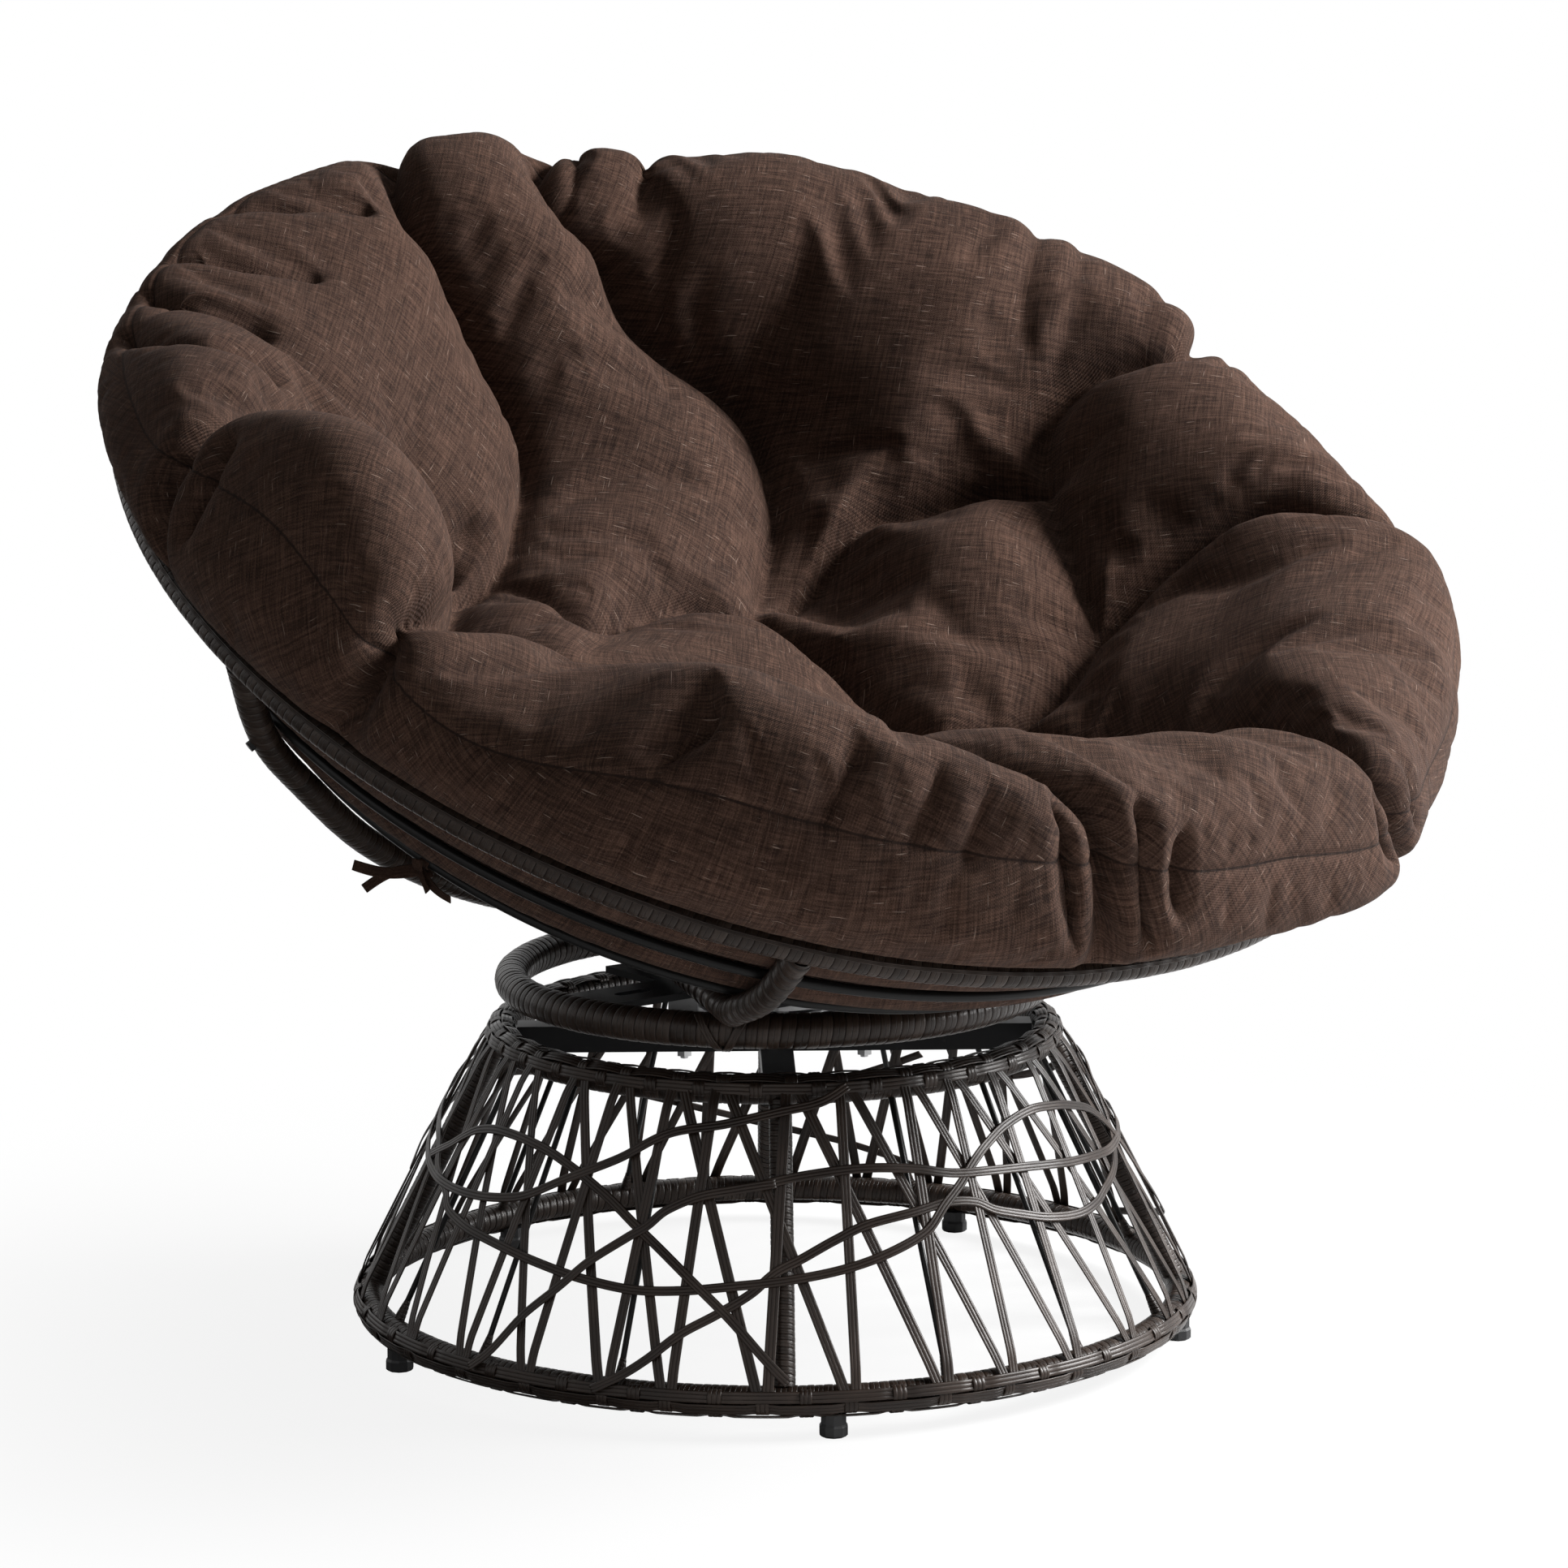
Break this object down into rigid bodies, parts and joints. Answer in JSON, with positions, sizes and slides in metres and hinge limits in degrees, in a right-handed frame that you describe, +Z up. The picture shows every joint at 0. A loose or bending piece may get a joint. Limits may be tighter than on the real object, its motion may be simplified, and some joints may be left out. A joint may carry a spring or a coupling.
{
  "type": "swivel papasan chair",
  "caption": "Papasan lounge chair: tilted bowl frame with a tufted round cushion, turning on a laced wicker stand.",
  "frame": {"origin": "on the floor under the middle of the whole chair's bounding box, 24 mm in front of the swivel axis", "axes": "+Z up, -Y the way the seat faces, +X to the right of someone who looks along +Y at the chair's front"},
  "size_m": [1.0345, 0.9364, 0.8901],
  "materials": {
    "resin_wicker": "dark brown resin strand with fine grooves, satin",
    "black_steel": "black powder coat, satin",
    "zinc_steel": "bright zinc plate",
    "brown_fabric": "slubby two-tone linen-look weave, dark brown",
    "black_plastic": "matte black moulded plastic"
  },
  "bodies": {
    "base": {"base_ring": "resin_wicker", "top_ring": "resin_wicker", "post_1": "resin_wicker", "post_2": "resin_wicker", "post_3": "resin_wicker", "post_4": "resin_wicker", "lacing_under": "resin_wicker", "lacing_over": "resin_wicker", "weaver_1": "resin_wicker", "weaver_2": "resin_wicker", "weaver_3": "resin_wicker", "weaver_4": "resin_wicker", "glide_1": "black_plastic", "glide_2": "black_plastic", "glide_3": "black_plastic", "glide_4": "black_plastic", "glide_5": "black_plastic", "lower_bar_long": "black_steel", "lower_bar_left": "black_steel", "lower_bar_right": "black_steel", "lower_swivel_plate": "black_steel", "lower_race": "zinc_steel", "king_pin": "zinc_steel", "lower_bolt_1": "zinc_steel", "lower_bolt_2": "zinc_steel", "lower_bolt_3": "zinc_steel", "lower_bolt_4": "zinc_steel"},
    "cage": {"ball_cage": "zinc_steel", "ball_1": "zinc_steel", "ball_2": "zinc_steel", "ball_3": "zinc_steel", "ball_4": "zinc_steel", "ball_5": "zinc_steel", "ball_6": "zinc_steel", "ball_7": "zinc_steel", "ball_8": "zinc_steel", "ball_9": "zinc_steel", "ball_10": "zinc_steel", "ball_11": "zinc_steel", "ball_12": "zinc_steel"},
    "seat": {"upper_swivel_plate": "black_steel", "upper_race": "zinc_steel", "upper_bolt_1": "zinc_steel", "upper_bolt_2": "zinc_steel", "upper_bolt_3": "zinc_steel", "upper_bolt_4": "zinc_steel", "spider_plate": "black_steel", "swivel_ring": "resin_wicker", "rail_left": "resin_wicker", "rail_right": "resin_wicker", "cradle": "resin_wicker", "spine": "resin_wicker", "cradle_screw_left": "zinc_steel", "cradle_screw_right": "zinc_steel", "rim_ring": "resin_wicker", "upper_hoop": "black_steel", "lower_hoop": "black_steel", "cushion": "brown_fabric", "tie_1": "brown_fabric", "tie_2": "brown_fabric"}
  },
  "joints": [
    {"name": "seat_swivel", "type": "hinge", "parent": "base", "child": "seat", "pos_m": [0, 0.024, 0.25], "axis": [0, 0, 1], "continuous": true},
    {"name": "cage_spin", "type": "hinge", "parent": "base", "child": "cage", "pos_m": [0, 0.024, 0.25], "axis": [0, 0, 1], "continuous": true}
  ],
  "couplings": [
    {"joint": "cage_spin", "follows": "seat_swivel", "ratio": 0.5}
  ]
}
